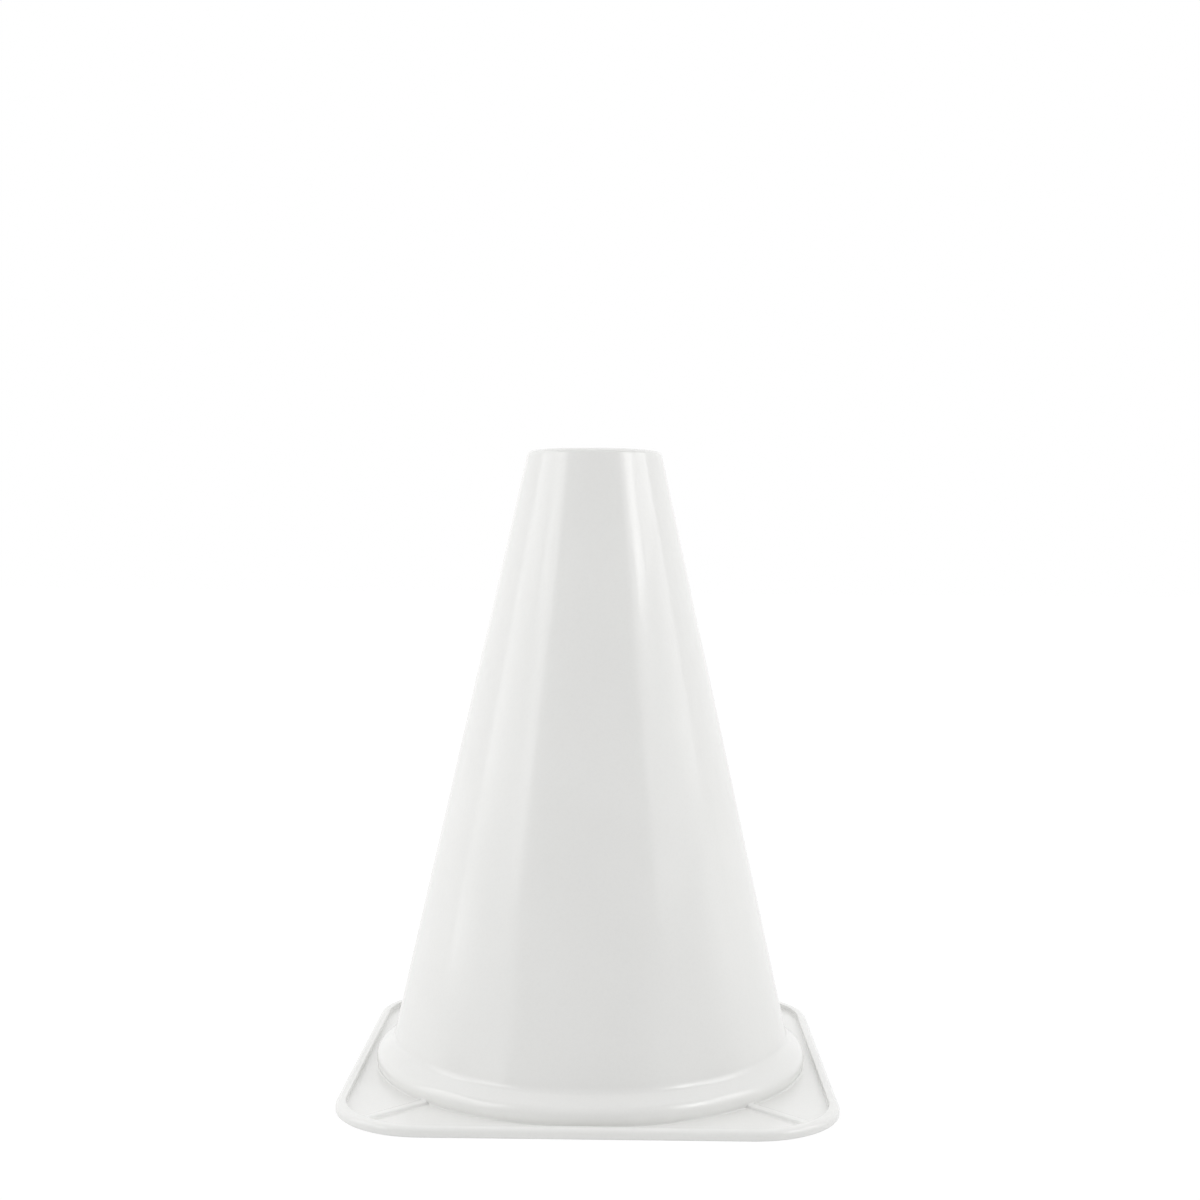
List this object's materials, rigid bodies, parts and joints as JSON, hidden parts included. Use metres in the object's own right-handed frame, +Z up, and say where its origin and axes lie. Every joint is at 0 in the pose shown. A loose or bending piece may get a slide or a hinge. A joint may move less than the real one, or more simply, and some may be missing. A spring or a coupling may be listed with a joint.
{
  "type": "marker cone",
  "caption": "Small hollow moulded plastic marker cone on a rounded square base, with a bead round its foot, a raised rim and corner ribs; open at the top and below.",
  "frame": {"origin": "on the floor under the cone's axis, at the middle of the base's underside", "axes": "+Z up along the cone's axis, +X and +Y square to the sides of the base; the base is alike on all sides"},
  "size_m": [0.173, 0.173, 0.2286],
  "materials": {
    "white_plastic": "satin white, smooth"
  },
  "bodies": {
    "root": {"marker_cone": "white_plastic"}
  },
  "joints": []
}
